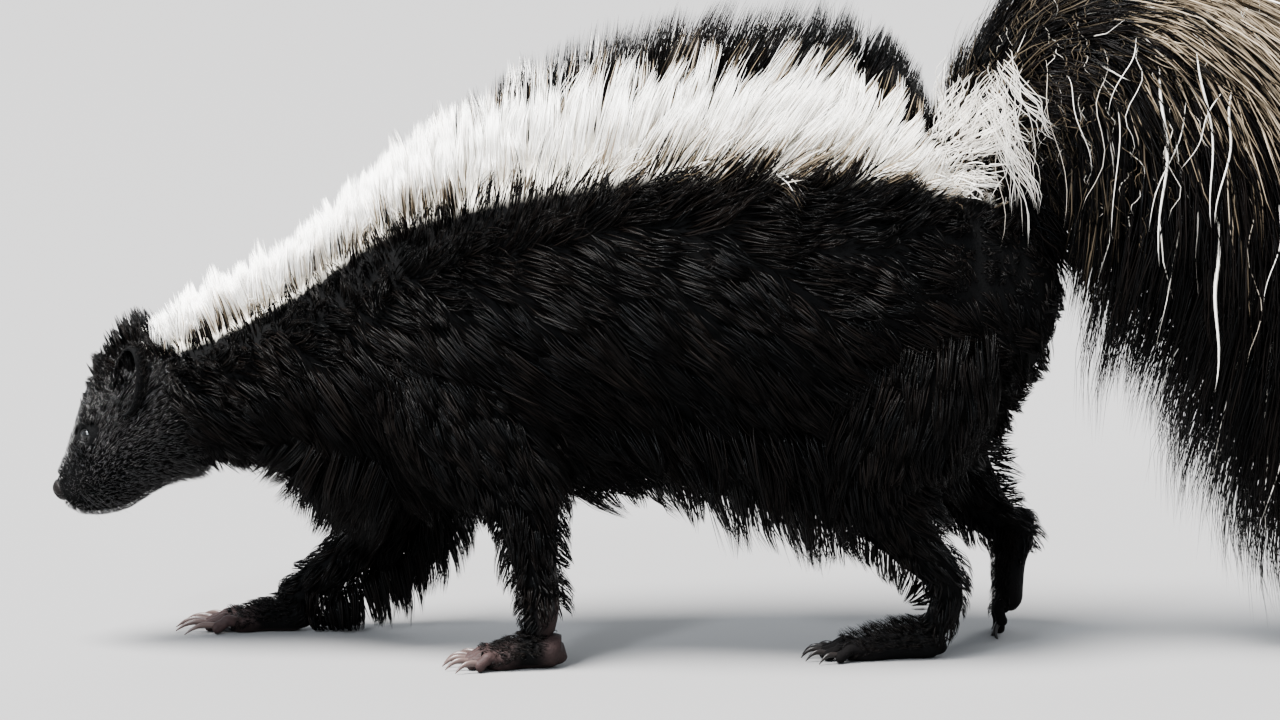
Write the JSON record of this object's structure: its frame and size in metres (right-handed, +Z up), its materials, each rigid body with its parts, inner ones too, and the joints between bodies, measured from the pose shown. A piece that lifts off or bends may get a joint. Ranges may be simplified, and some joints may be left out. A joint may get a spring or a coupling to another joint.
{
  "type": "striped skunk figure",
  "caption": "Life-size striped skunk, walking with a low head, an arched back and a raised, drooping plume; white nape and back stripe, wet clumped coat.",
  "frame": {"origin": "on the floor under the middle of the whole animal", "axes": "+Z up, -X towards the nose, -Y towards the left side of the animal"},
  "size_m": [0.6114, 0.1498, 0.3041],
  "materials": {
    "coat": "wet black fur, white along the nape and the back",
    "paw": "bare damp skin",
    "claw": "satin horn",
    "nose": "damp grainy skin",
    "eye": "clear gloss"
  },
  "bodies": {
    "root": {"ear_left": "coat", "ear_right": "coat", "eye_left": "eye", "eye_right": "eye", "fore_left_claw_1": "claw", "fore_left_claw_2": "claw", "fore_left_claw_3": "claw", "fore_left_claw_4": "claw", "fore_left_claw_5": "claw", "fore_left_lower": "coat", "fore_left_paw": "paw", "fore_left_upper": "coat", "fore_right_claw_1": "claw", "fore_right_claw_2": "claw", "fore_right_claw_3": "claw", "fore_right_claw_4": "claw", "fore_right_claw_5": "claw", "fore_right_lower": "coat", "fore_right_paw": "paw", "fore_right_upper": "coat", "head": "coat", "hind_left_claw_1": "claw", "hind_left_claw_2": "claw", "hind_left_claw_3": "claw", "hind_left_claw_4": "claw", "hind_left_claw_5": "claw", "hind_left_lower": "coat", "hind_left_paw": "paw", "hind_left_upper": "coat", "hind_right_claw_1": "claw", "hind_right_claw_2": "claw", "hind_right_claw_3": "claw", "hind_right_claw_4": "claw", "hind_right_claw_5": "claw", "hind_right_lower": "coat", "hind_right_paw": "paw", "hind_right_upper": "coat", "neck": "coat", "nose": "nose", "tail_base": "coat", "tail_end": "coat", "tail_middle": "coat", "torso": "coat"}
  },
  "joints": []
}
